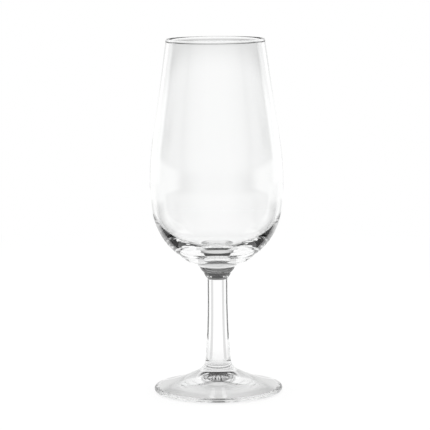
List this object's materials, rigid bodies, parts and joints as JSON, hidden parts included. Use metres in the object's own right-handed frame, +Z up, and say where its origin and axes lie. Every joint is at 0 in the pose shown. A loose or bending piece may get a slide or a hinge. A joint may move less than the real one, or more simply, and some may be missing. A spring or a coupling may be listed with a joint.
{
  "type": "tasting glass",
  "caption": "Clear stemmed tasting glass: egg-shaped bowl narrowing to a fire-polished lip, rounded rings under the bowl, solid round stem and a round foot with a hollow underside.",
  "frame": {"origin": "centre of the ring that the foot rests on, at the bottom of the glass", "axes": "+Z up along the glass's axis of rotation, from foot to lip"},
  "size_m": [0.0518, 0.0518, 0.138],
  "materials": {
    "bowl_glass": "clear, blown and fire-polished",
    "merese_glass": "clear, pressed",
    "knop_glass": "clear, pressed",
    "stem_glass": "clear, drawn and fire-polished",
    "foot_glass": "clear, pressed and fire-polished"
  },
  "bodies": {
    "root": {"bowl": "bowl_glass", "merese": "merese_glass", "knop": "knop_glass", "stem": "stem_glass", "foot": "foot_glass"}
  },
  "joints": []
}
